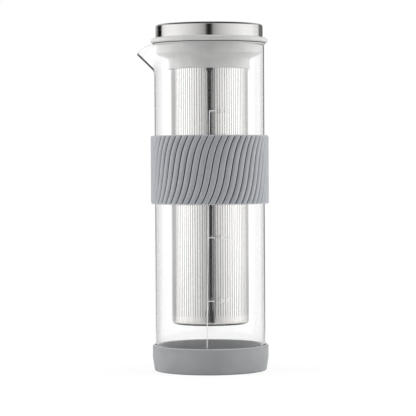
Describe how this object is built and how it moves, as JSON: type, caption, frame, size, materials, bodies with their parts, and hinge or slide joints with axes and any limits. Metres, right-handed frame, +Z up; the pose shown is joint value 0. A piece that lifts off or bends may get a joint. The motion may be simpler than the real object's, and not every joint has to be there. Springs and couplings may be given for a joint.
{
  "type": "cold brew coffee maker",
  "caption": "Slim glass carafe with a pulled spout, ribbed silicone grip and boot, silicone stopper, slotted steel filter and steel lid.",
  "frame": {"origin": "centre of the silicone boot's flat underside, on the carafe's axis", "axes": "+Z up the carafe's axis, -X towards the pouring spout, -Y the front that carries the scale"},
  "size_m": [0.0932, 0.0838, 0.245],
  "materials": {
    "glass": "clear borosilicate, fire polished",
    "boot_silicone": "matt moulded silicone",
    "sleeve_silicone": "matt moulded silicone with ribs",
    "collar_silicone": "translucent satin silicone",
    "filter_steel": "bright rolled stainless sheet with etched slots",
    "lid_steel": "polished stainless",
    "plug_plastic": "fine moulded matt",
    "seal_silicone": "translucent satin silicone"
  },
  "bodies": {
    "carafe": {"carafe": "glass"},
    "boot": {"base_boot": "boot_silicone"},
    "sleeve": {"grip_sleeve": "sleeve_silicone"},
    "stopper": {"stopper_collar": "collar_silicone"},
    "filter": {"filter_tube": "filter_steel", "filter_rim": "filter_steel", "filter_base": "filter_steel"},
    "lid": {"lid_shell": "lid_steel", "lid_plug": "plug_plastic", "lid_seal": "seal_silicone"}
  },
  "joints": [
    {"name": "stopper_lift", "type": "slide", "parent": "carafe", "child": "stopper", "axis": [0, 0, 1], "range_m": [0, 0.215]},
    {"name": "filter_lift", "type": "slide", "parent": "stopper", "child": "filter", "axis": [0, 0, 1], "range_m": [0, 0.206]},
    {"name": "lid_lift", "type": "slide", "parent": "filter", "child": "lid", "axis": [0, 0, 1], "range_m": [0, 0.04]},
    {"name": "sleeve_slide", "type": "slide", "parent": "carafe", "child": "sleeve", "axis": [0, 0, 1], "range_m": [-0.099, 0.04]},
    {"name": "boot_pull", "type": "slide", "parent": "carafe", "child": "boot", "axis": [0, 0, -1], "range_m": [0, 0.025]}
  ]
}
